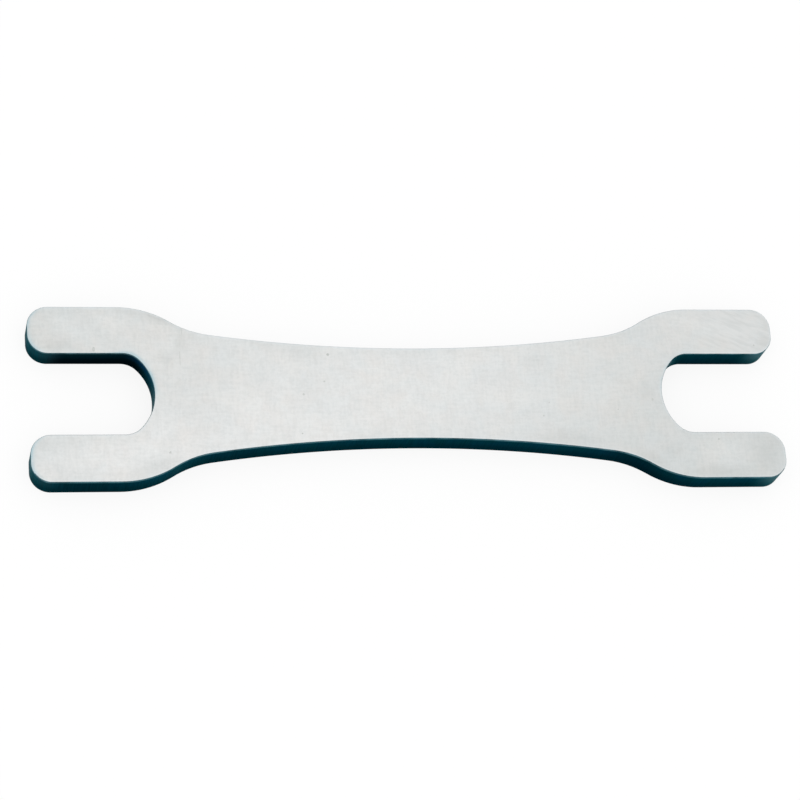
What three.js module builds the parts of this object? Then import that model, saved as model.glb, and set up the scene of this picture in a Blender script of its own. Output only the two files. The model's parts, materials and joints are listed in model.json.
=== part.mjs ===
// Tip wrench: a flat plate with the same open jaw cut into each end and a waisted grip between.
// Millimetres, +Z up. X runs along the wrench, Y across its jaws, and the underside lies on z = 0.
import * as THREE from 'three';

// Plate
const OVERALL_LENGTH = 127;
const PLATE_THICKNESS = 4.8;
const EDGE_BREAK = 0.25;

// Jaw in each end: a parallel-sided slot whose floor is an arc that runs into rounded corners
const JAW_OPENING = 14.2;
const JAW_DEPTH = 20.5;
const JAW_CORNER_RADIUS = 3.7;
const JAW_FLOOR_EASE = 1.5; // how far the floor's radius exceeds half the opening

// Prongs on either side of a jaw
const PRONG_WIDTH = 8.25;
const PRONG_FLANK = 14.6; // straight outer side, from the tip back to the shoulder
const TIP_RADIUS = 3.4;

// Sides between the two heads: a long shallow waist, a hollow neck and a round shoulder
const WAIST_WIDTH = 16.1;
const WAIST_FLARE = 8.05; // degrees, the slope of the waist where the neck begins
const NECK_RADIUS = 16.5;
const SHOULDER_RADIUS = 16.5;

// Fineness of the outline's arcs: each is drawn with twice this many chords
const ARC_STEPS = 6;

// Finish of the plate: bare, matt, pale metal
const PLATE_COLOUR = '#dfe1de';
const PLATE_METALNESS = 0.6;
const PLATE_ROUGHNESS = 0.55;

// Directions, as angles from +X
const UP = Math.PI / 2;
const DOWN = -Math.PI / 2;
const BACK = Math.PI;

const halfLength = OVERALL_LENGTH / 2;
const halfJaw = JAW_OPENING / 2;
const halfHead = halfJaw + PRONG_WIDTH;
const halfWaist = WAIST_WIDTH / 2;

const point = (x, y) => new THREE.Vector2(x, y);

// An arc of the outline: drawn about its centre, from one angle to another.
const arc = (centre, radius, from, to) => ({ centre, radius, from, to });

// Waist, neck and shoulder of one quarter of the outline, from the middle of the wrench to the flank.
// Each arc is tangent to the next, and the shoulder ends level with the flank.
function sideArcs() {
  const flare = THREE.MathUtils.degToRad(WAIST_FLARE);
  const flankStart = halfLength - PRONG_FLANK;
  const bendRadii = NECK_RADIUS + SHOULDER_RADIUS;
  const neckSetback = NECK_RADIUS * Math.sin(flare);

  // The slope between neck and shoulder that carries the side from the waist's width to the head's
  const waistRise = (flankStart + neckSetback) * Math.tan(flare / 2);
  const bendHeight = NECK_RADIUS * Math.cos(flare) + SHOULDER_RADIUS + waistRise - (halfHead - halfWaist);
  const steepest = flare / 2 + Math.acos((bendHeight * Math.cos(flare / 2)) / bendRadii);

  const waistEnd = flankStart + neckSetback - bendRadii * Math.sin(steepest);
  const waistRadius = waistEnd / Math.sin(flare);
  const waistCentre = point(0, halfWaist + waistRadius);
  const shoulderCentre = point(flankStart, halfHead - SHOULDER_RADIUS);
  const neckCentre = point(
    shoulderCentre.x - bendRadii * Math.sin(steepest),
    shoulderCentre.y + bendRadii * Math.cos(steepest),
  );
  return [
    arc(waistCentre, waistRadius, DOWN, DOWN + flare),
    arc(neckCentre, NECK_RADIUS, DOWN + flare, DOWN + steepest),
    arc(shoulderCentre, SHOULDER_RADIUS, UP + steepest, UP),
  ];
}

// Tip corners of one prong, then the corner and half the floor of the jaw beside it.
// The straight runs between these arcs are the flank, the tip and the jaw's flat.
function headArcs() {
  const tipRadius = Math.min(TIP_RADIUS, PRONG_WIDTH / 2);
  const tipX = halfLength - tipRadius;
  const cornerRadius = Math.min(JAW_CORNER_RADIUS, halfJaw);
  const cornerY = halfJaw - cornerRadius;
  const floorRadius = halfJaw + JAW_FLOOR_EASE;
  const floorCentre = point(halfLength - JAW_DEPTH + floorRadius, 0);
  const cornerX = floorCentre.x - Math.sqrt((floorRadius - cornerRadius) ** 2 - cornerY ** 2);
  const cornerCentre = point(cornerX, cornerY);
  const cornerEnd = cornerCentre.clone().sub(floorCentre).angle();
  return [
    arc(point(tipX, halfHead - tipRadius), tipRadius, UP, 0),
    arc(point(tipX, halfJaw + tipRadius), tipRadius, 0, DOWN),
    arc(cornerCentre, cornerRadius, UP, cornerEnd),
    arc(floorCentre, floorRadius, cornerEnd, BACK),
  ];
}

// The same arcs across the centre line, in the opposite order so that the outline runs on.
function mirrored(arcs) {
  const across = arcs.map(({ centre, radius, from, to }) => (
    arc(point(centre.x, -centre.y), radius, -to, -from)
  ));
  return across.reverse();
}

// The same arcs at the other end, half a turn about the middle of the wrench.
function turned(arcs) {
  return arcs.map(({ centre, radius, from, to }) => (
    arc(centre.clone().negate(), radius, from + Math.PI, to + Math.PI)
  ));
}

// Outline of the plate. Straight runs join each arc to the next where they don't already meet.
function plateOutline() {
  const quarter = [...sideArcs(), ...headArcs()];
  const end = [...quarter, ...mirrored(quarter)];
  const outline = new THREE.Shape();
  for (const { centre, radius, from, to } of [...end, ...turned(end)]) {
    outline.absarc(centre.x, centre.y, radius, from, to, to < from);
  }
  return outline;
}

// The plate: its outline through the thickness, with the sharp edges broken all round both faces.
function wrenchPlate() {
  const geometry = new THREE.ExtrudeGeometry(plateOutline(), {
    depth: PLATE_THICKNESS - 2 * EDGE_BREAK,
    bevelThickness: EDGE_BREAK,
    bevelSize: EDGE_BREAK,
    bevelOffset: -EDGE_BREAK,
    bevelSegments: 1,
    curveSegments: ARC_STEPS,
  });
  const material = new THREE.MeshStandardMaterial({
    color: PLATE_COLOUR,
    metalness: PLATE_METALNESS,
    roughness: PLATE_ROUGHNESS,
  });
  const plate = new THREE.Mesh(geometry, material);
  plate.name = 'wrench_plate';
  plate.position.z = EDGE_BREAK;
  return plate;
}

const wrench = new THREE.Group();
wrench.name = 'tip_wrench';
wrench.add(wrenchPlate());

export default wrench;
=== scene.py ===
"""Looks of a flat tip wrench: a pale, matt plate with dark cut edges, in a plain white studio.

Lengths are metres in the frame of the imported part: X runs along the wrench, Y across its jaws and Z up,
with the plate's underside on z = 0.
"""

import json
import logging
import math
from collections.abc import Callable
from dataclasses import dataclass
from enum import Enum, IntEnum
from functools import cached_property, partial, reduce
from typing import Any

import bpy
from mathutils import Matrix, Vector


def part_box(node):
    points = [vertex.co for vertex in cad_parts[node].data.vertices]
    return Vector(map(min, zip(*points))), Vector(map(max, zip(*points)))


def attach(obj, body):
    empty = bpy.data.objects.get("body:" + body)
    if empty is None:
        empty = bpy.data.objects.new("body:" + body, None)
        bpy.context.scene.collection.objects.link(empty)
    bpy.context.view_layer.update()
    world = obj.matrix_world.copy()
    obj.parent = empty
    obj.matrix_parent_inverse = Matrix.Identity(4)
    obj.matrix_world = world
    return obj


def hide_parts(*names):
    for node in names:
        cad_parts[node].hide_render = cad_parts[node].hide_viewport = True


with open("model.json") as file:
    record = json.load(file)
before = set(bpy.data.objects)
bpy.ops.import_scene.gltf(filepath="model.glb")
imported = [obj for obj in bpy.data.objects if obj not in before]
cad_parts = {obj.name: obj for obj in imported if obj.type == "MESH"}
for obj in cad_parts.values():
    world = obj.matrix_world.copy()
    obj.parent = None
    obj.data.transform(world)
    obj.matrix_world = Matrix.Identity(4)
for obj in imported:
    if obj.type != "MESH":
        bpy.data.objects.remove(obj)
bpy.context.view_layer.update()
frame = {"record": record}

Colour = tuple[float, float, float, float]
Pitch = tuple[float, float, float]
Range = tuple[float, float]
Row = tuple[float, ...]
Socket = bpy.types.NodeSocket

LOG = logging.getLogger("tip_wrench")
PLATE_NODE = "wrench_plate"
ROOT_BODY = "root"
RIM = "rim"

MM = 0.001
QUARTER_TURN = math.pi / 2
# Distance under which two places count as one
NEAR = 0.001 * MM
# A normal's least Z, up or down, on the plate's flat faces
FLAT = 0.999
RISING: Range = (0.0, 1.0)
FALLING: Range = (1.0, 0.0)
METAL = 1.0
NOISE_MIDDLE = (0.5, 0.5, 0.5)
# Rays that show the background: the camera's, and those in metal and glass
SEEN_RAYS = ("Is Camera Ray", "Is Glossy Ray", "Is Transmission Ray")

# The curve by which screens store a colour: a straight start, then a power
SCREEN_WHITE = 255
SCREEN_START = 0.04045
SCREEN_SLOPE = 12.92
SCREEN_LIFT = 0.055
SCREEN_POWER = 2.4


class Pick(Enum):
    """What edit mode selects."""

    EDGES = "EDGE"
    FACES = "FACE"


class Finish(IntEnum):
    """Material slots of the plate, in order."""

    FACE = 0
    EDGE = 1
    PIT = 2


class Effect(Enum):
    """Node groups that the finishes share."""

    STREAKS = "drawn_streaks"
    MOTTLE = "soft_mottle"
    RIM_WEAR_GLINT = "rubbed_rim"
    PATCH = "soft_patch"


class Kind(Enum):
    """Types of a node group's sockets."""

    NUMBER = "NodeSocketFloat"
    VECTOR = "NodeSocketVector"


def linear(share: float) -> float:
    """Turns a screen's share of red, green or blue into linear light."""
    curved = ((share + SCREEN_LIFT) / (1 + SCREEN_LIFT)) ** SCREEN_POWER
    return curved if share > SCREEN_START else share / SCREEN_SLOPE


def tint(code: str) -> Colour:
    """Turns a screen colour of six hexadecimal digits into the linear colour that a socket takes."""
    red, green, blue = (linear(value / SCREEN_WHITE) for value in bytes.fromhex(code))
    return (red, green, blue, 1.0)


class NodeSheet:
    """A node tree being laid out: adds nodes, fills their sockets and joins them."""

    def __init__(self, tree: bpy.types.NodeTree) -> None:
        """Starts on the tree of a material, a world or a group."""
        self.tree = tree

    def add(self, kind: str, sockets: dict[str | int, Any] | None = None, **settings: Any) -> bpy.types.Node:
        """Adds a node.

        Args:
            kind: Type name of the node.
            sockets: Input sockets by name or place, each with its value or the socket that feeds it.
            **settings: Properties of the node itself.

        Returns:
            The new node.
        """
        node = self.tree.nodes.new(kind)
        for name, value in settings.items():
            setattr(node, name, value)
        for key, value in (sockets or {}).items():
            self.feed(node.inputs[key], value)
        return node

    def feed(self, socket: Socket, value: Any) -> None:
        """Gives a socket its value, or joins it to the socket that feeds it.

        Args:
            socket: Input socket.
            value: A plain value or an output socket.
        """
        if isinstance(value, Socket):
            self.tree.links.new(value, socket)
        else:
            socket.default_value = value

    def group(self, effect: Effect, **sockets: Any) -> Socket:
        """Places a shared effect with its inputs by name, and gives its only output."""
        node = self.add("ShaderNodeGroup", sockets, node_tree=bpy.data.node_groups[effect.value])
        return node.outputs[0]

    # The Mix node counts its sockets over all its types of data
    def blend(self, share: Any, first: Any, second: Any) -> Socket:
        """Mixes two colours: the first at a share of 0, the second at 1."""
        return self.add("ShaderNodeMix", {0: share, 6: first, 7: second}, data_type="RGBA").outputs[2]

    def lay(self, tone: Any, *layers: tuple[Any, Any]) -> Socket:
        """Lays colours over each other.

        Args:
            tone: Colour at the bottom.
            *layers: How much of each layer shows, from 0 to 1, and its colour, from the bottom up.

        Returns:
            The colour that shows.
        """
        for share, colour in layers:
            tone = self.blend(share, tone, colour)
        return tone

    def between(self, share: Any, first: Any, second: Any) -> Socket:
        """Mixes two numbers: the first at a share of 0, the second at 1."""
        return self.add("ShaderNodeMix", {0: share, 2: first, 3: second}, data_type="FLOAT").outputs[0]

    def reckon(self, operation: str, *numbers: Any) -> Socket:
        """Works out a number from one or two others by an operation of the Math node."""
        return self.add("ShaderNodeMath", dict(enumerate(numbers)), operation=operation).outputs[0]

    def chain(self, operation: str, *numbers: Any) -> Socket:
        """Works out a number from several others, two at a time, by an operation of the Math node."""
        return reduce(partial(self.reckon, operation), numbers)

    def times(self, *numbers: Any) -> Socket:
        """Multiplies several numbers."""
        return self.chain("MULTIPLY", *numbers)

    def steer(self, operation: str, *vectors: Any) -> Socket:
        """Works out a vector from others by an operation of the Vector Math node."""
        return self.add("ShaderNodeVectorMath", dict(enumerate(vectors)), operation=operation).outputs[0]

    def span(self, value: Any, source: Range, target: Range = RISING) -> Socket:
        """Maps one range of numbers smoothly onto another, whose ends hold outside it."""
        ends = dict(enumerate((value, *source, *target)))
        return self.add("ShaderNodeMapRange", ends, interpolation_type="SMOOTHSTEP").outputs[0]

    def ramp(self, share: Any, ends: Range) -> Socket:
        """Turns a share from 0 to 1 smoothly into a number between two ends."""
        return self.span(share, RISING, ends)


@dataclass(frozen=True)
class EffectBench:
    """Builds the node groups that more than one finish uses."""

    streak_roughness: float = 0.6
    streak_levels: Range = (0.3, 0.7)
    mottle_distortion: float = 0.4
    mottle_levels: Range = (0.32, 0.68)
    rim_scale: float = 420.0
    rim_detail: float = 4.0
    rim_levels: Range = (0.3, 0.7)
    rim_strength: Range = (0.35, 1.0)

    def build(self) -> None:
        """Builds every group once."""
        self.streaks()
        self.mottle()
        self.rim_wear_glint()
        self.patch()

    def start(self, effect: Effect, **inputs: Kind) -> tuple[NodeSheet, bpy.types.NodeOutputs, Socket]:
        """Opens a new group that puts out one number, named as the effect is.

        Args:
            effect: The effect that the group makes.
            **inputs: Names of the input sockets, each with its type.

        Returns:
            The group's sheet, its inputs by name and the socket that takes its result.
        """
        tree = bpy.data.node_groups.new(effect.value, "ShaderNodeTree")
        for name, kind in inputs.items():
            tree.interface.new_socket(name, in_out="INPUT", socket_type=kind.value)
        output = effect.name.capitalize()
        tree.interface.new_socket(output, in_out="OUTPUT", socket_type=Kind.NUMBER.value)
        sheet = NodeSheet(tree)
        given = sheet.add("NodeGroupInput").outputs
        return sheet, given, sheet.add("NodeGroupOutput").inputs[output]

    def streaks(self) -> None:
        """Makes fine streaks: noise drawn out along the directions in which its pitch is low."""
        sheet, given, result = self.start(
            Effect.STREAKS, Vector=Kind.VECTOR, Pitch=Kind.VECTOR, Detail=Kind.NUMBER
        )
        noise = {
            "Vector": sheet.steer("MULTIPLY", given["Vector"], given["Pitch"]),
            "Scale": 1.0,
            "Detail": given["Detail"],
            "Roughness": self.streak_roughness,
        }
        level = sheet.add("ShaderNodeTexNoise", noise).outputs[0]
        sheet.feed(result, sheet.span(level, self.streak_levels))

    def mottle(self) -> None:
        """Makes soft blotches of no direction."""
        sheet, given, result = self.start(
            Effect.MOTTLE, Vector=Kind.VECTOR, Scale=Kind.NUMBER, Detail=Kind.NUMBER
        )
        noise = {name: given[name] for name in ("Vector", "Scale", "Detail")}
        noise["Distortion"] = self.mottle_distortion
        level = sheet.add("ShaderNodeTexNoise", noise).outputs[0]
        sheet.feed(result, sheet.span(level, self.mottle_levels))

    def rim_wear_glint(self) -> None:
        """Makes a mask along the rims, broken up so that it comes and goes, for wear and for painted
        highlights and reflections at the arris.
        """
        sheet, given, result = self.start(
            Effect.RIM_WEAR_GLINT, Vector=Kind.VECTOR, Rim=Kind.NUMBER, Sharpness=Kind.NUMBER
        )
        noise = {"Vector": given["Vector"], "Scale": self.rim_scale, "Detail": self.rim_detail}
        level = sheet.add("ShaderNodeTexNoise", noise).outputs[0]
        wear_and_highlight = sheet.reckon("POWER", given["Rim"], given["Sharpness"])
        sheet.feed(result, sheet.times(wear_and_highlight, sheet.span(level, self.rim_levels, self.rim_strength)))

    def patch(self) -> None:
        """Makes a soft oval, full in its middle and gone at its outline."""
        placing = ("Vector", "Location", "Rotation", "Scale")
        sheet, given, result = self.start(
            Effect.PATCH, **dict.fromkeys(placing, Kind.VECTOR), Share=Kind.NUMBER
        )
        oval = {name: given[name] for name in placing}
        centred = sheet.add("ShaderNodeMapping", oval, vector_type="TEXTURE").outputs[0]
        ball = sheet.add("ShaderNodeTexGradient", {"Vector": centred}, gradient_type="SPHERICAL")
        sheet.feed(result, sheet.times(sheet.ramp(ball.outputs["Fac"], RISING), given["Share"]))


class MaterialSheet(NodeSheet):
    """A new material with one Principled shader, ready to be dressed."""

    def __init__(self, name: str) -> None:
        """Makes the material.

        Args:
            name: Name of the finish.
        """
        self.material = bpy.data.materials.new(name)
        self.material.use_nodes = True
        super().__init__(self.material.node_tree)
        self.tree.nodes.clear()
        self.shader = self.add("ShaderNodeBsdfPrincipled")
        self.add("ShaderNodeOutputMaterial", {"Surface": self.shader.outputs[0]})

    @cached_property
    def place(self) -> Socket:
        """Place on the plate."""
        return self.add("ShaderNodeTexCoord").outputs["Object"]

    @cached_property
    def axes(self) -> bpy.types.NodeOutputs:
        """X, Y and Z of the place."""
        return self.add("ShaderNodeSeparateXYZ", {0: self.place}).outputs

    @cached_property
    def outward(self) -> Socket:
        """Distance from the middle of the wrench along its length."""
        return self.reckon("ABSOLUTE", self.axes["X"])

    @cached_property
    def rim(self) -> Socket:
        """Nearness to a rim, from 0 to 1."""
        mark = self.add("ShaderNodeAttribute", attribute_name=RIM, attribute_type="GEOMETRY")
        return mark.outputs["Fac"]

    def fill(self, **sockets: Any) -> None:
        """Fills the shader's sockets, named with underscores for spaces."""
        for name, value in sockets.items():
            self.feed(self.shader.inputs[name.replace("_", " ")], value)

    def relief(self, height: Socket, depth: float, strength: float) -> None:
        """Gives the surface a fine relief, in which a height of 1 stands for the depth."""
        bump = self.add("ShaderNodeBump", {"Strength": strength, "Distance": depth, "Height": height})
        self.fill(Normal=bump.outputs[0])


@dataclass(frozen=True)
class Patch:
    """A soft oval of another tone, so tall that it counts alike at every height of the plate."""

    x: float
    y: float
    length: float
    width: float
    share: float
    turn: float
    height: float = 1.0

    def mask(self, sheet: MaterialSheet, place: Socket) -> Socket:
        """Lays the oval out.

        Args:
            sheet: Sheet to add the nodes to.
            place: Place on the plate, which may wander.

        Returns:
            The patch's share in its middle, fading to 0 at its outline.
        """
        return sheet.group(
            Effect.PATCH,
            Vector=place,
            Location=(self.x, self.y, 0.0),
            Rotation=(0.0, 0.0, self.turn),
            Scale=(self.length / 2, self.width / 2, self.height),
            Share=self.share,
        )


def patches(*rows: Row) -> tuple[Patch, ...]:
    """Makes patches from rows of numbers.

    Args:
        *rows: X, Y, length and width in millimetres, the share, and the turn in degrees.

    Returns:
        The patches.
    """
    return tuple(
        Patch(x * MM, y * MM, length * MM, width * MM, share, math.radians(turn))
        for x, y, length, width, share, turn in rows
    )


def patched(sheet: MaterialSheet, place: Socket, spots: tuple[Patch, ...]) -> Socket:
    """Adds up the masks of several patches at a place on the plate, which may wander."""
    return sheet.chain("ADD", *(spot.mask(sheet, place) for spot in spots))


# Darker marks of handling on the faces
SOILED = patches(
    (-43.4, -12.9, 13, 6, 0.3, 18),
    (-37.0, 0.0, 24, 28, 0.14, 0),
    (-59.0, 8.4, 11, 3.5, 0.25, 0),
    (-38.4, 9.6, 2.4, 9, 0.2, -4),
    (-41.0, 6.2, 4.5, 3.5, 0.2, 0),
    (-60.0, -8.6, 12, 5, 0.12, 0),
    (-45.0, 14.0, 13, 3, 0.2, -14),
    (-41.4, 13.0, 9, 1.8, 0.35, -24),
    (-17.0, 6.8, 10, 4, 0.1, 0),
    (21.2, 5.9, 7, 3, 0.15, 0),
    (26.5, -8.2, 18, 5, 0.2, -3),
    (39.6, -11.6, 10, 4, 0.25, -28),
    (40.3, 0.2, 5, 6, 0.15, 0),
    (43.2, -10.2, 6, 5, 0.15, 0),
    (52.5, -14.4, 17, 4, 0.26, 0),
    (60.2, -11.0, 8, 11, 0.3, 0),
    (62.0, 9.0, 5, 5, 0.2, 0),
)
# Places on the faces that are rubbed paler
RUBBED = patches(
    (-56.4, 11.2, 13, 5, 0.18, -30),
    (-50.0, 12.6, 9, 5, 0.2, -20),
    (-55.0, -11.4, 18, 5, 0.15, 0),
    (16.6, -0.5, 36, 6, 0.12, 0),
    (32.2, 0.0, 12, 9, 0.12, 0),
    (49.0, 12.8, 15, 4, 0.16, -14),
    (55.0, 11.6, 11, 4, 0.12, -22),
    (52.4, -10.6, 13, 9, 0.2, 0),
)
# Stretches of the cut edge with painted shade, darker than the rest
SHADED = patches(
    (-55.0, -15.0, 26, 30, 0.65, 0),
    (38.0, -11.0, 22, 16, 0.55, 0),
    (-31.0, -9.5, 28, 12, 0.4, 0),
)
# Stretches of the jaws' floors whose upper part has a bluer painted reflection
BLUED = patches(
    (-44.0, 5.0, 9, 9, 0.7, 0),
    (43.6, 5.4, 7, 7, 0.7, 0),
)


@dataclass(frozen=True)
class FaceFinish:
    """Pale, matt mill finish of the plate's two faces, with their grain, wear, handling marks and a painted
    soft highlight, and painted blue reflections in the rim burnish and on some arrises.
    """

    name: str = "mill_face"
    # Painted soft highlight: the lightest tone near the middle of the plate, dimmer towards its tips
    highlight_middle: Colour = tint("ececeb")
    dimmer_ends: Colour = tint("dbdddc")
    cool: Colour = tint("d5dcdf")
    warm: Colour = tint("e2dad4")
    dull: Colour = tint("c6cbca")
    soiled: Colour = tint("b8bab7")
    rubbed: Colour = tint("f3f3f1")
    # Burnish along the rims, tinted blue as a painted reflection of a cool sky
    burnish_sky_tint: Colour = tint("dde6ea")
    # Pale blue of a painted reflection on the arris of the jaws' floors and of one end's tips
    glint_blue: Colour = tint("a2c2cb")
    highlight_x: float = -15 * MM
    highlight_falloff: Range = (18 * MM, 60 * MM)
    corner_reach: Range = (-600 * MM * MM, 600 * MM * MM)
    corner_share: float = 0.4
    cloud_detail: float = 3.0
    warm_scale: float = 300.0
    warm_share: float = 0.25
    cool_scale: float = 150.0
    cool_share: float = 0.28
    smear_scale: float = 90.0
    smear_detail: float = 4.0
    smear_share: float = 0.15
    drift_scale: float = 350.0
    drift_detail: float = 4.0
    drift: float = 2 * MM
    burnish_share: float = 0.4
    burnish_sharpness: float = 14.0
    glint_share: float = 0.75
    glint_sharpness: float = 8.0
    glint_use: Range = (1.0, 0.3)
    jaw_to_jaw: Range = (-38 * MM, 38 * MM)
    floor_start: Range = (38 * MM, 41 * MM)
    floor_end: Range = (48 * MM, 52 * MM)
    floor_low: Range = (-2 * MM, 2 * MM)
    floor_high: Range = (7.5 * MM, 9.5 * MM)
    glint_tips: Range = (-63 * MM, -60.5 * MM)
    grain_detail: float = 2.0
    grain_share: float = 0.21
    rolled_pitch: Pitch = (330.0, 1900.0, 1.0)
    crossed_pitch: Pitch = (1900.0, 330.0, 1.0)
    crossed_share: float = 0.55
    speckle_scale: float = 2200.0
    speckle_share: float = 0.35
    sanding_pitch: Pitch = (330.0, 1450.0, 1.0)
    sanding_turn: float = math.radians(24)
    sanding_share: float = 0.8
    sanded_along: Range = (45 * MM, 57 * MM)
    sanded_across: Range = (4 * MM, 9 * MM)
    roughness: Range = (0.44, 0.62)
    relief_depth: float = 0.012 * MM
    relief_strength: float = 0.35

    def material(self) -> bpy.types.Material:
        """Builds the material.

        Returns:
            The finished material.
        """
        sheet = MaterialSheet(self.name)
        place = sheet.place
        grain = self.grain(sheet)
        drifting = self.drifting(sheet)
        warmth = sheet.group(Effect.MOTTLE, Vector=place, Scale=self.warm_scale, Detail=self.cloud_detail)
        cloud = sheet.group(Effect.MOTTLE, Vector=place, Scale=self.cool_scale, Detail=self.cloud_detail)
        smear = sheet.group(Effect.MOTTLE, Vector=place, Scale=self.smear_scale, Detail=self.smear_detail)
        burnish = sheet.group(Effect.RIM_WEAR_GLINT, Vector=place, Rim=sheet.rim, Sharpness=self.burnish_sharpness)
        tone = sheet.lay(
            # Painted soft highlight along the plate, darker at two opposite corners
            self.painted_highlight(sheet),
            (sheet.times(warmth, self.warm_share), self.warm),
            (sheet.times(cloud, self.cool_share), self.cool),
            (patched(sheet, drifting, SOILED), self.soiled),
            (patched(sheet, drifting, RUBBED), self.rubbed),
            (sheet.times(smear, sheet.rim, self.smear_share), self.dull),
            (sheet.times(grain, self.grain_share), self.dull),
            # Burnish along the rims, with a painted blue sky reflection
            (sheet.times(burnish, self.burnish_share), self.burnish_sky_tint),
            # Painted pale blue reflection on some arrises
            (self.painted_blue_glint(sheet), self.glint_blue),
        )
        sheet.fill(Base_Color=tone, Metallic=METAL, Roughness=sheet.ramp(grain, self.roughness))
        sheet.relief(grain, self.relief_depth, self.relief_strength)
        return sheet.material

    def grain(self, sheet: MaterialSheet) -> Socket:
        """Lays the rolled grain, a crossing grain, a speckle and the sanding of one tip over each other.

        Args:
            sheet: Sheet to add the nodes to.

        Returns:
            The grain, from 0 to 1.
        """
        fine = {"Vector": sheet.place, "Detail": self.grain_detail}
        rolled = sheet.group(Effect.STREAKS, **fine, Pitch=self.rolled_pitch)
        crossed = sheet.group(Effect.STREAKS, **fine, Pitch=self.crossed_pitch)
        speckle = sheet.group(Effect.MOTTLE, **fine, Scale=self.speckle_scale)
        turn = {"Vector": sheet.place, "Rotation": (0, 0, self.sanding_turn)}
        turned = sheet.add("ShaderNodeMapping", turn).outputs[0]
        sanding = sheet.group(
            Effect.STREAKS, Vector=turned, Pitch=self.sanding_pitch, Detail=self.grain_detail
        )
        along = sheet.span(sheet.axes["X"], self.sanded_along, (0.0, self.sanding_share))
        across = sheet.span(sheet.axes["Y"], self.sanded_across)
        linen = sheet.between(self.crossed_share, rolled, crossed)
        mill = sheet.between(self.speckle_share, linen, speckle)
        return sheet.between(sheet.times(along, across), mill, sanding)

    def painted_highlight(self, sheet: MaterialSheet) -> Socket:
        """Paints a soft highlight along the plate, lightest near its middle and dimmer towards its tips, and
        darkens two opposite corners.

        Args:
            sheet: Sheet to add the nodes to.

        Returns:
            The colour.
        """
        away = sheet.reckon("ABSOLUTE", sheet.reckon("SUBTRACT", sheet.axes["X"], self.highlight_x))
        corner = sheet.times(sheet.axes["X"], sheet.axes["Y"])
        cornered = sheet.span(corner, self.corner_reach, (self.corner_share, 0.0))
        return sheet.lay(self.highlight_middle, (sheet.span(away, self.highlight_falloff), self.dimmer_ends), (cornered, self.dull))

    def drifting(self, sheet: MaterialSheet) -> Socket:
        """Lets the place on the plate wander a little, so that patches have no clean outline.

        Args:
            sheet: Sheet to add the nodes to.

        Returns:
            The place, moved by up to half the drift each way.
        """
        noise = {"Vector": sheet.place, "Scale": self.drift_scale, "Detail": self.drift_detail}
        colour = sheet.add("ShaderNodeTexNoise", noise).outputs["Color"]
        swing = sheet.steer("SUBTRACT", colour, NOISE_MIDDLE)
        return sheet.steer("MULTIPLY_ADD", swing, (self.drift, self.drift, 0.0), sheet.place)

    def painted_blue_glint(self, sheet: MaterialSheet) -> Socket:
        """Paints a pale blue reflection on the arris of the jaws' floors and of one end's tips.

        Args:
            sheet: Sheet to add the nodes to.

        Returns:
            How strongly it shows, from 0 to 1.
        """
        arris = sheet.group(Effect.RIM_WEAR_GLINT, Vector=sheet.place, Rim=sheet.rim, Sharpness=self.glint_sharpness)
        floor = sheet.times(
            sheet.span(sheet.axes["Y"], self.floor_low, (0.0, self.glint_share)),
            sheet.span(sheet.axes["Y"], self.floor_high, FALLING),
            sheet.span(sheet.outward, self.floor_start),
            sheet.span(sheet.outward, self.floor_end, FALLING),
            sheet.span(sheet.axes["X"], self.jaw_to_jaw, self.glint_use),
        )
        tips = sheet.span(sheet.axes["X"], self.glint_tips, (self.glint_share, 0.0))
        return sheet.times(arris, sheet.reckon("MAXIMUM", floor, tips))


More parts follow.
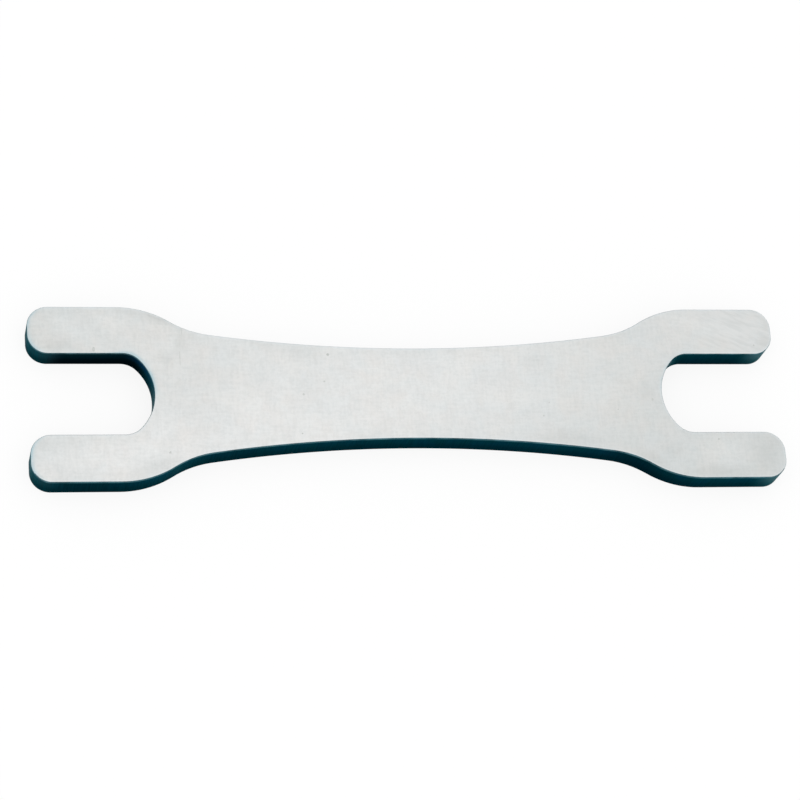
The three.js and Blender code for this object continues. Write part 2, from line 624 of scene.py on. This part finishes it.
@dataclass(frozen=True)
class EdgeFinish:
    """Dark blue-green cut edge, whose colour is a painted reflection of dark surroundings: painted shade low
    down and in one jaw, a painted paler reflection at the tips, and wear with a painted highlight at the
    arris.
    """

    height: float
    name: str = "cut_edge"
    deep: Colour = tint("031316")
    # Near black of the painted shade inside the jaws
    jaw_shade_colour: Colour = tint("00070b")
    green: Colour = tint("083036")
    blue: Colour = tint("07303f")
    # Blue of a painted reflection on the upper part of the jaws' floors
    jaw_blue_reflection: Colour = tint("0a2c52")
    # Paler along the top arris: wear, with a painted highlight on the edge break
    wear_and_highlight: Colour = tint("587b84")
    # Paler grey of a painted reflection at the tips
    tip_reflection: Colour = tint("637277")
    grazing: Colour = (0.27, 0.5, 0.54, 1.0)
    # Share of painted shade at the foot of the wall
    low_shade: float = 0.75
    blue_reach: Range = (0.45, 1.0)
    cloud_scale: float = 330.0
    cloud_detail: float = 3.0
    drag_pitch: Pitch = (6500.0, 6500.0, 220.0)
    drag_detail: float = 3.0
    drag_share: float = 0.07
    arris_sharpness: float = 2.0
    jaw_to_jaw: Range = (-42 * MM, 42 * MM)
    jaw_use: Range = (1.0, 0.15)
    jaw_start: Range = (42 * MM, 46 * MM)
    jaw_end: Range = (58 * MM, 62 * MM)
    jaw_width: Range = (8 * MM, 12 * MM)
    jaw_rise: Range = (1.0, 0.7)
    tip_to_tip: Range = (-57 * MM, 57 * MM)
    tip_use: Range = (0.2, 1.0)
    tip_start: Range = (57 * MM, 63 * MM)
    tip_rise: Range = (0.35, 1.0)
    # Metallic share where the jaws' shade is painted
    jaw_shade_metal: float = 0.15
    edge_specular_level: float = 0.0
    front_lean: float = -0.3
    front_start: float = math.radians(30)
    rear_start: float = math.radians(45)
    roughness: Range = (0.4, 0.52)
    relief_depth: float = 0.02 * MM
    relief_strength: float = 0.15

    def material(self) -> bpy.types.Material:
        """Builds the material.

        Returns:
            The finished material.
        """
        sheet = MaterialSheet(self.name)
        place = sheet.place
        rise = sheet.span(sheet.axes["Z"], (0.0, self.height))
        drag = sheet.group(Effect.STREAKS, Vector=place, Pitch=self.drag_pitch, Detail=self.drag_detail)
        cloud = sheet.group(Effect.MOTTLE, Vector=place, Scale=self.cloud_scale, Detail=self.cloud_detail)
        rim_wear_glint = sheet.group(Effect.RIM_WEAR_GLINT, Vector=place, Rim=sheet.rim, Sharpness=self.arris_sharpness)
        jaw_shade = self.jaw_painted_shade(sheet, rise)
        upper = sheet.span(rise, self.blue_reach)
        tone = sheet.lay(
            # Dark blue-green base: a painted reflection of dark surroundings in the bare metal edge
            sheet.blend(cloud, self.green, self.blue),
            # Painted shade, darker towards the foot of the wall
            (sheet.ramp(rise, (self.low_shade, 0.0)), self.deep),
            # Painted shade on some stretches of the edge
            (patched(sheet, place, SHADED), self.deep),
            # Painted shade inside the jaws
            (jaw_shade, self.jaw_shade_colour),
            # Painted bluer reflection on the jaws' floors
            (sheet.times(upper, patched(sheet, place, BLUED)), self.jaw_blue_reflection),
            # Painted paler reflection at the tips
            (self.tip_painted_reflection(sheet, rise), self.tip_reflection),
            (sheet.times(drag, self.drag_share), self.deep),
            # Wear and a painted highlight along the top arris
            (sheet.times(rim_wear_glint, rise), self.wear_and_highlight),
        )
        sheet.fill(
            Base_Color=tone,
            Metallic=sheet.ramp(jaw_shade, (METAL, self.jaw_shade_metal)),
            Roughness=sheet.ramp(drag, self.roughness),
            Specular_IOR_Level=self.edge_specular_level,
            Specular_Tint=self.grazing,
        )
        sheet.relief(drag, self.relief_depth, self.relief_strength)
        return sheet.material

    def jaw_painted_shade(self, sheet: MaterialSheet, rise: Socket) -> Socket:
        """Paints shade on the walls inside the jaws: more in one jaw, and more towards their foot.

        Args:
            sheet: Sheet to add the nodes to.
            rise: Height on the wall, from 0 to 1.

        Returns:
            The painted shade, from 0 to 1.
        """
        sideways = sheet.reckon("ABSOLUTE", sheet.axes["Y"])
        return sheet.times(
            sheet.span(sheet.outward, self.jaw_start),
            sheet.span(sideways, self.jaw_width, FALLING),
            sheet.span(sheet.axes["X"], self.jaw_to_jaw, self.jaw_use),
            sheet.span(sheet.outward, self.jaw_end, FALLING),
            sheet.ramp(rise, self.jaw_rise),
        )

    def tip_painted_reflection(self, sheet: MaterialSheet, rise: Socket) -> Socket:
        """Paints a paler reflection on the walls at the tips: more at one end, and more towards the top.

        Args:
            sheet: Sheet to add the nodes to.
            rise: Height on the wall, from 0 to 1.

        Returns:
            The painted reflection, from 0 to 1.
        """
        return sheet.times(
            sheet.span(sheet.outward, self.tip_start),
            sheet.ramp(rise, self.tip_rise),
            sheet.span(sheet.axes["X"], self.tip_to_tip, self.tip_use),
        )

    def covers(self, face: bpy.types.MeshPolygon) -> bool:
        """Tells whether the finish covers a face: it reaches higher along the front of the wrench.

        Args:
            face: A face of the plate.

        Returns:
            True where the face is tilted enough.
        """
        in_front = face.center.y < 0 and face.normal.y < self.front_lean
        start = self.front_start if in_front else self.rear_start
        return abs(face.normal.z) < math.cos(start)


@dataclass(frozen=True)
class PitFinish:
    """Dull floor of the small pits in the face."""

    name: str = "pit_floor"
    pale: Colour = tint("d9dbd9")
    dark: Colour = tint("cdd0cd")
    cloud_scale: float = 900.0
    cloud_detail: float = 3.0
    roughness: float = 0.7

    def material(self) -> bpy.types.Material:
        """Builds the material.

        Returns:
            The finished material.
        """
        sheet = MaterialSheet(self.name)
        cloud = sheet.group(
            Effect.MOTTLE, Vector=sheet.place, Scale=self.cloud_scale, Detail=self.cloud_detail
        )
        tone = sheet.blend(cloud, self.pale, self.dark)
        sheet.fill(Base_Color=tone, Metallic=METAL, Roughness=self.roughness)
        return sheet.material


@dataclass(frozen=True)
class Pit:
    """A small dent in the upper face: a round pit, or a scratch that runs across the plate."""

    x: float
    y: float
    width: float
    stretch: float
    depth: float
    ball_segments: int = 24
    ball_rings: int = 48

    @property
    def ball_radius(self) -> float:
        """Radius of the ball whose cap is the dent's cross-section."""
        return ((self.width / 2) ** 2 + self.depth ** 2) / (2 * self.depth)

    def holds(self, point: Vector) -> bool:
        """Tells whether a point lies within the dent's outline, seen from above."""
        return math.hypot(point.x - self.x, (point.y - self.y) / self.stretch) < self.width / 2

    def add_ball(self, top: float) -> bpy.types.Object:
        """Adds the ball that cuts the dent.

        Args:
            top: Height of the upper face.

        Returns:
            The ball, which dips into the face by the dent's depth.
        """
        bpy.ops.mesh.primitive_uv_sphere_add(
            segments=self.ball_segments,
            ring_count=self.ball_rings,
            radius=self.ball_radius,
            location=(self.x, self.y, top - self.depth + self.ball_radius),
            scale=(1, self.stretch, 1),
        )
        return bpy.context.active_object


# X, Y and width in millimetres, the stretch across the plate, and the depth in millimetres
PITS = tuple(
    Pit(x * MM, y * MM, width * MM, stretch, depth * MM)
    for x, y, width, stretch, depth in (
        (-52.7, 7.8, 0.5, 1.7, 0.04),
        (-40.9, -10.3, 0.35, 1.2, 0.04),
        (-18.4, -0.2, 0.35, 1.3, 0.04),
        (-19.0, -7.1, 0.25, 1.1, 0.04),
        (-14.8, 2.1, 0.35, 0.8, 0.04),
        (-13.9, 6.9, 0.5, 0.9, 0.04),
        (22.0, -4.1, 0.28, 0.9, 0.04),
        (23.2, -1.7, 0.22, 1.3, 0.04),
        (35.0, -3.0, 0.22, 1.0, 0.04),
        (41.2, -1.2, 0.35, 1.2, 0.04),
        (52.0, -8.4, 0.4, 0.9, 0.04),
        (60.2, 8.7, 0.3, 0.8, 0.04),
        (-38.1, 10.6, 0.1, 22, 0.02),
        (-38.6, 6.2, 0.09, 30, 0.02),
    )
)


@dataclass(frozen=True)
class PlateSizes:
    """Sizes of the plate. Its box and its jaws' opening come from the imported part."""

    length: float
    head_width: float
    thickness: float
    jaw_opening: float
    jaw_depth: float = 20.5 * MM
    jaw_corner_radius: float = 3.7 * MM
    jaw_floor_ease: float = 1.5 * MM
    prong_flank: float = 14.6 * MM
    tip_radius: float = 3.4 * MM
    waist_width: float = 16.1 * MM
    waist_flare: float = math.radians(8.05)
    neck_radius: float = 16.5 * MM
    shoulder_radius: float = 16.5 * MM
    upper_break: float = 0.22 * MM
    lower_break: float = 0.08 * MM
    break_steps: int = 4
    break_profile: float = 0.5
    face_band: float = 2.4 * MM
    wall_band: float = 0.7 * MM
    least_pit: float = 0.0001 * MM
    smooth_angle: float = math.radians(40)

    @classmethod
    def from_frame(cls) -> "PlateSizes":
        """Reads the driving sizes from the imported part.

        Returns:
            The plate's sizes.
        """
        low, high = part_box(PLATE_NODE)
        flats = [mount["pos_m"][1] for mount in frame["record"]["mounts"] if "jaw" in mount["name"]]
        return cls(high.x - low.x, high.y - low.y, high.z - low.z, max(flats) - min(flats))


class OutlineTracer:
    """Draws an outline in edit mode by carrying one vertex along arcs and straight runs."""

    # With no window a spin about +Z turns from Y to X, so its axis points down
    spin_axis: tuple[int, int, int] = (0, 0, -1)
    finest_turn: float = math.radians(3)
    longest_chord: float = 1.2 * MM

    def __init__(self, name: str, start: Vector) -> None:
        """Adds a small plane, closes it to one vertex and sets that at the start.

        Args:
            name: Name of the new object.
            start: Where the outline begins.
        """
        bpy.ops.mesh.primitive_plane_add(size=MM)
        self.object = bpy.context.active_object
        self.object.name = name
        bpy.ops.object.mode_set(mode="EDIT")
        bpy.ops.mesh.select_all(action="SELECT")
        bpy.ops.mesh.merge(type="CENTER")
        bpy.ops.transform.translate(value=start)
        self.at = start

    def arc(self, centre: Vector, turn: float) -> None:
        """Carries the last vertex round a centre.

        Args:
            centre: Centre of the arc.
            turn: Angle in radians, positive from X towards Y.
        """
        arm = self.at - centre
        steps = max(abs(turn) / self.finest_turn, abs(turn) * arm.length / self.longest_chord)
        bpy.ops.mesh.spin(steps=math.ceil(steps), angle=turn, center=centre, axis=self.spin_axis)
        self.at = centre + Matrix.Rotation(turn, 3, "Z") @ arm

    def run(self, end: Vector) -> None:
        """Draws a straight run to its end."""
        bpy.ops.mesh.extrude_region_move(TRANSFORM_OT_translate={"value": end - self.at})
        self.at = end


@dataclass(frozen=True)
class WrenchPlate:
    """The whole wrench: a plate with an open jaw in each end and a waisted grip between."""

    sizes: PlateSizes
    pits: tuple[Pit, ...]
    face: FaceFinish
    edge: EdgeFinish
    pit: PitFinish
    name: str = "wrench_body"

    def build(self) -> bpy.types.Object:
        """Models the plate, dresses it and sets it on its body.

        Returns:
            The finished piece.
        """
        plate = self.trace_quarter()
        self.close_outline(plate)
        self.thicken(plate)
        self.break_edges(plate)
        self.mark_rims(plate)
        self.sink_pits(plate)
        self.dress(plate)
        self.crease_pits(plate)
        self.smooth(plate)
        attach(plate, ROOT_BODY)
        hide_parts(PLATE_NODE)
        return plate

    def trace_quarter(self) -> bpy.types.Object:
        """Traces a quarter of the outline, from the middle of the waist to the middle of the jaw's floor.

        Returns:
            The object that holds the open outline.
        """
        tracer = OutlineTracer(self.name, Vector((0, self.sizes.waist_width / 2, 0)))
        self.trace_side(tracer)
        self.trace_head(tracer)
        bpy.ops.object.mode_set(mode="OBJECT")
        return tracer.object

    def trace_side(self, tracer: OutlineTracer) -> None:
        """Traces the waist, the neck and the shoulder, each tangent to the next.

        Args:
            tracer: Tracer that stands at the middle of the waist.
        """
        sizes = self.sizes
        flare = sizes.waist_flare
        flank_start = sizes.length / 2 - sizes.prong_flank
        bend_radii = sizes.neck_radius + sizes.shoulder_radius
        # With the three arcs tangent, the flare fixes how steep the side is where neck and shoulder meet
        setback = sizes.neck_radius * math.sin(flare)
        waist_rise = (flank_start + setback) * math.tan(flare / 2)
        step_out = (sizes.head_width - sizes.waist_width) / 2
        bend_height = sizes.neck_radius * math.cos(flare) + sizes.shoulder_radius + waist_rise - step_out
        steepest = flare / 2 + math.acos(bend_height * math.cos(flare / 2) / bend_radii)
        waist_end = flank_start + setback - bend_radii * math.sin(steepest)
        waist_radius = waist_end / math.sin(flare)
        shoulder = Vector((flank_start, sizes.head_width / 2 - sizes.shoulder_radius, 0))
        neck = shoulder + bend_radii * Vector((-math.sin(steepest), math.cos(steepest), 0))
        tracer.arc(Vector((0, sizes.waist_width / 2 + waist_radius, 0)), flare)
        tracer.arc(neck, steepest - flare)
        tracer.arc(shoulder, -steepest)

    def trace_head(self, tracer: OutlineTracer) -> None:
        """Traces a prong's flank and tip, then the jaw's flat, its corner and half its floor.

        Args:
            tracer: Tracer that stands at the start of the flank.
        """
        sizes = self.sizes
        half_jaw = sizes.jaw_opening / 2
        half_head = sizes.head_width / 2
        tip = sizes.tip_radius
        tip_x = sizes.length / 2 - tip
        corner_y = half_jaw - sizes.jaw_corner_radius
        floor_radius = half_jaw + sizes.jaw_floor_ease
        floor = Vector((sizes.length / 2 - sizes.jaw_depth + floor_radius, 0, 0))
        corner_x = floor.x - math.sqrt((floor_radius - sizes.jaw_corner_radius) ** 2 - corner_y ** 2)
        corner_turn = math.atan2(corner_y, corner_x - floor.x) - QUARTER_TURN
        tracer.run(Vector((tip_x, half_head, 0)))
        tracer.arc(Vector((tip_x, half_head - tip, 0)), -QUARTER_TURN)
        tracer.run(Vector((sizes.length / 2, half_jaw + tip, 0)))
        tracer.arc(Vector((tip_x, half_jaw + tip, 0)), -QUARTER_TURN)
        tracer.run(Vector((corner_x, half_jaw, 0)))
        tracer.arc(Vector((corner_x, corner_y, 0)), corner_turn)
        tracer.arc(floor, QUARTER_TURN - corner_turn)

    def close_outline(self, plate: bpy.types.Object) -> None:
        """Mirrors the quarter about both centre lines and fills the closed outline.

        Args:
            plate: Object that holds the quarter.
        """
        mirror = plate.modifiers.new("both_centre_lines", "MIRROR")
        mirror.use_axis = (True, True, False)
        mirror.merge_threshold = NEAR
        bpy.ops.object.modifier_apply(modifier=mirror.name)
        bpy.ops.object.mode_set(mode="EDIT")
        bpy.ops.mesh.select_all(action="SELECT")
        bpy.ops.mesh.edge_face_add()
        bpy.ops.object.mode_set(mode="OBJECT")

    def thicken(self, plate: bpy.types.Object) -> None:
        """Extrudes the filled outline to the plate's thickness.

        Args:
            plate: Object that holds the flat outline.
        """
        bpy.ops.object.mode_set(mode="EDIT")
        bpy.ops.mesh.select_all(action="SELECT")
        bpy.ops.mesh.extrude_region_move(TRANSFORM_OT_translate={"value": (0, 0, self.sizes.thickness)})
        bpy.ops.mesh.select_all(action="SELECT")
        bpy.ops.mesh.normals_make_consistent(inside=False)
        bpy.ops.object.mode_set(mode="OBJECT")

    def break_edges(self, plate: bpy.types.Object) -> None:
        """Rounds the edges of both faces, the upper ones more, as blanking leaves them."""
        self.round_edges(plate, self.sizes.thickness, self.sizes.upper_break)
        self.round_edges(plate, 0.0, self.sizes.lower_break)

    def round_edges(self, plate: bpy.types.Object, height: float, width: float) -> None:
        """Rounds the edges that lie at one height.

        Args:
            plate: The plate, square-edged at that height.
            height: Height of the edges.
            width: How far the rounding reaches from them.
        """
        points = plate.data.vertices
        self.select(
            plate,
            Pick.EDGES,
            lambda edge: all(abs(points[end].co.z - height) < NEAR for end in edge.vertices),
        )
        bpy.ops.mesh.bevel(
            offset=width, segments=self.sizes.break_steps, profile=self.sizes.break_profile, affect="EDGES"
        )
        bpy.ops.object.mode_set(mode="OBJECT")

    def mark_rims(self, plate: bpy.types.Object) -> None:
        """Adds a band inside each rim, on the faces and down the wall, over which wear and the painted arris
        reflections fade out.

        Args:
            plate: The plate with its edges broken.
        """
        sizes = self.sizes
        rim = plate.data.attributes.new(RIM, "FLOAT", "POINT")
        rim.data.foreach_set("value", [1.0] * len(rim.data))
        self.select(plate, Pick.FACES, lambda face: abs(face.normal.z) > FLAT)
        bpy.ops.mesh.inset(thickness=sizes.face_band)
        self.fade_selected(plate)
        for height in (sizes.wall_band, sizes.thickness - sizes.wall_band):
            bpy.ops.object.mode_set(mode="EDIT")
            bpy.ops.mesh.select_all(action="SELECT")
            bpy.ops.mesh.bisect(plane_co=(0, 0, height), plane_no=(0, 0, 1))
            self.fade_selected(plate)

    def fade_selected(self, plate: bpy.types.Object) -> None:
        """Leaves edit mode and takes the rim's mark off the selected vertices.

        Args:
            plate: The plate, in edit mode.
        """
        bpy.ops.object.mode_set(mode="OBJECT")
        marks = plate.data.attributes[RIM].data
        for vertex in plate.data.vertices:
            if vertex.select:
                marks[vertex.index].value = 0.0

    def sink_pits(self, plate: bpy.types.Object) -> None:
        """Cuts the pits into the upper face with the caps of small balls.

        Args:
            plate: The plate with its rims marked.
        """
        bpy.ops.object.select_all(action="DESELECT")
        balls = [pit.add_ball(self.sizes.thickness) for pit in self.pits]
        for ball in balls:
            ball.select_set(True)
        bpy.ops.object.join()
        cutter = bpy.context.active_object
        cut = plate.modifiers.new("pits", "BOOLEAN")
        cut.operation = "DIFFERENCE"
        cut.object = cutter
        bpy.context.view_layer.objects.active = plate
        bpy.ops.object.modifier_apply(modifier=cut.name)
        bpy.data.objects.remove(cutter)

    def dress(self, plate: bpy.types.Object) -> None:
        """Gives the faces, the edge and the pits their finishes, in the order of the slots.

        Args:
            plate: The modelled plate.
        """
        plate.data.materials.clear()
        for finish in (self.face, self.edge, self.pit):
            plate.data.materials.append(finish.material())
        for face in plate.data.polygons:
            face.material_index = self.finish_of(face)

    def finish_of(self, face: bpy.types.MeshPolygon) -> Finish:
        """Picks the finish of a face.

        Args:
            face: A face of the plate.

        Returns:
            The pits' finish inside one, the edge's where that covers the face, and else the faces'.
        """
        sunk = face.normal.z > 0 and face.center.z < self.sizes.thickness - self.sizes.least_pit
        if sunk and any(pit.holds(face.center) for pit in self.pits):
            return Finish.PIT
        return Finish.EDGE if self.edge.covers(face) else Finish.FACE

    def crease_pits(self, plate: bpy.types.Object) -> None:
        """Keeps the pits' outlines sharp, so that the flat round them shades flat.

        Args:
            plate: The dressed plate.
        """
        self.select(plate, Pick.FACES, lambda face: face.material_index == Finish.PIT)
        bpy.ops.mesh.region_to_loop()
        bpy.ops.mesh.mark_sharp()
        bpy.ops.object.mode_set(mode="OBJECT")

    def smooth(self, plate: bpy.types.Object) -> None:
        """Shades the arcs smooth and keeps the large flats flat.

        Args:
            plate: The dressed plate.
        """
        bpy.ops.object.select_all(action="DESELECT")
        plate.select_set(True)
        bpy.context.view_layer.objects.active = plate
        bpy.ops.object.shade_smooth_by_angle(angle=self.sizes.smooth_angle)
        weigh = plate.modifiers.new("flat_faces", "WEIGHTED_NORMAL")
        weigh.keep_sharp = True
        bpy.ops.object.modifier_apply(modifier=weigh.name)

    def select(self, plate: bpy.types.Object, pick: Pick, wanted: Callable[[Any], bool]) -> None:
        """Selects what passes a test and goes into edit mode.

        Args:
            plate: The plate, in object mode.
            pick: Kind of element to select.
            wanted: Test of one element.
        """
        bpy.ops.object.mode_set(mode="EDIT")
        bpy.ops.mesh.select_mode(type=pick.value)
        bpy.ops.mesh.select_all(action="DESELECT")
        bpy.ops.object.mode_set(mode="OBJECT")
        elements = plate.data.edges if pick is Pick.EDGES else plate.data.polygons
        for element in elements:
            element.select = wanted(element)
        bpy.ops.object.mode_set(mode="EDIT")


@dataclass(frozen=True)
class Softbox:
    """A soft lamp that hangs over the wrench."""

    name: str
    place: Vector
    aim: Vector
    side: float
    watts: float

    def build(self) -> None:
        """Hangs the lamp and aims it."""
        bpy.ops.object.light_add(type="AREA", location=self.place)
        lamp = bpy.context.active_object
        lamp.name = self.name
        lamp.data.size = self.side
        lamp.data.energy = self.watts
        lamp.rotation_euler = (self.aim - self.place).to_track_quat("-Z", "Y").to_euler()


@dataclass(frozen=True)
class Studio:
    """Plain white floor, white surroundings and a soft lamp."""

    floor_side: float = 6.0
    floor_drop: float = 0.02 * MM
    floor_paint: Colour = tint("fdfdfd")
    floor_glow: float = 0.86
    white: Colour = tint("ffffff")
    white_strength: float = 1.0
    lamp: Softbox = Softbox(
        name="overhead_softbox", place=Vector((-0.1, -0.1, 0.9)), aim=Vector((0, 0, 0)), side=0.6, watts=0.45
    )

    def build(self) -> None:
        """Sets up the floor, the surroundings and the lamp."""
        self.lay_floor()
        self.light_surroundings()
        self.lamp.build()
        bpy.context.scene.view_settings.view_transform = "Standard"

    def lay_floor(self) -> None:
        """Lays a floor that shows white and keeps a soft shadow."""
        bpy.ops.mesh.primitive_plane_add(size=self.floor_side, location=(0, 0, -self.floor_drop))
        floor = bpy.context.active_object
        floor.name = "studio_floor"
        material = bpy.data.materials.new("floor_white")
        material.use_nodes = True
        sheet = NodeSheet(material.node_tree)
        sheet.tree.nodes.clear()
        paint = sheet.add("ShaderNodeBsdfDiffuse", {"Color": self.floor_paint})
        glow = sheet.add("ShaderNodeEmission", {"Color": self.white, "Strength": self.white_strength})
        share = sheet.times(self.seen(sheet), self.floor_glow)
        mixed = sheet.add("ShaderNodeMixShader", {0: share, 1: paint.outputs[0], 2: glow.outputs[0]})
        sheet.add("ShaderNodeOutputMaterial", {"Surface": mixed.outputs[0]})
        floor.data.materials.append(material)

    def seen(self, sheet: NodeSheet) -> Socket:
        """Gives 1 for the rays that show the background, and 0 for the rest."""
        path = sheet.add("ShaderNodeLightPath").outputs
        return sheet.chain("MAXIMUM", *(path[ray] for ray in SEEN_RAYS))

    def light_surroundings(self) -> None:
        """Surrounds the wrench with even white light."""
        world = bpy.data.worlds.new("white_surroundings")
        world.use_nodes = True
        sheet = NodeSheet(world.node_tree)
        sheet.tree.nodes.clear()
        light = sheet.add("ShaderNodeBackground", {"Color": self.white, "Strength": self.white_strength})
        sheet.add("ShaderNodeOutputWorld", {"Surface": light.outputs[0]})
        bpy.context.scene.world = world


@dataclass(frozen=True)
class PhotoCamera:
    """Camera at the photograph's viewing angle, turned level with the wrench in the picture."""

    target: Vector = Vector((-2.27, -1.24, 4.8)) * MM
    distance: float = 490.9 * MM
    azimuth: float = math.radians(-28.67)
    elevation: float = math.radians(65.94)
    roll: float = math.radians(26.42)
    lens: float = 133.2
    sensor: float = 36.0
    near_share: float = 0.1

    def build(self) -> None:
        """Sets up the camera and makes it the scene's."""
        level = math.cos(self.elevation)
        back = Vector((
            math.sin(self.azimuth) * level,
            -math.cos(self.azimuth) * level,
            math.sin(self.elevation),
        ))
        bpy.ops.object.camera_add()
        camera = bpy.context.active_object
        camera.name = "photo_camera"
        camera.data.lens = self.lens
        camera.data.sensor_width = self.sensor
        camera.data.clip_start = self.distance * self.near_share
        turn = (-back).to_track_quat("-Z", "Y").to_matrix().to_4x4()
        place = Matrix.Translation(self.target + back * self.distance)
        camera.matrix_world = place @ turn @ Matrix.Rotation(self.roll, 4, "Z")
        bpy.context.scene.camera = camera


def main() -> None:
    """Builds the wrench, the studio and the camera, and reports each piece."""
    logging.basicConfig(level=logging.INFO, format="%(name)s: %(message)s")
    bpy.ops.object.select_all(action="DESELECT")
    EffectBench().build()
    sizes = PlateSizes.from_frame()
    plate = WrenchPlate(sizes, PITS, FaceFinish(), EdgeFinish(sizes.thickness), PitFinish()).build()
    LOG.info("%s: %d faces, %s m", plate.name, len(plate.data.polygons), tuple(plate.dimensions))
    Studio().build()
    PhotoCamera().build()


if __name__ == "__main__":
    main()
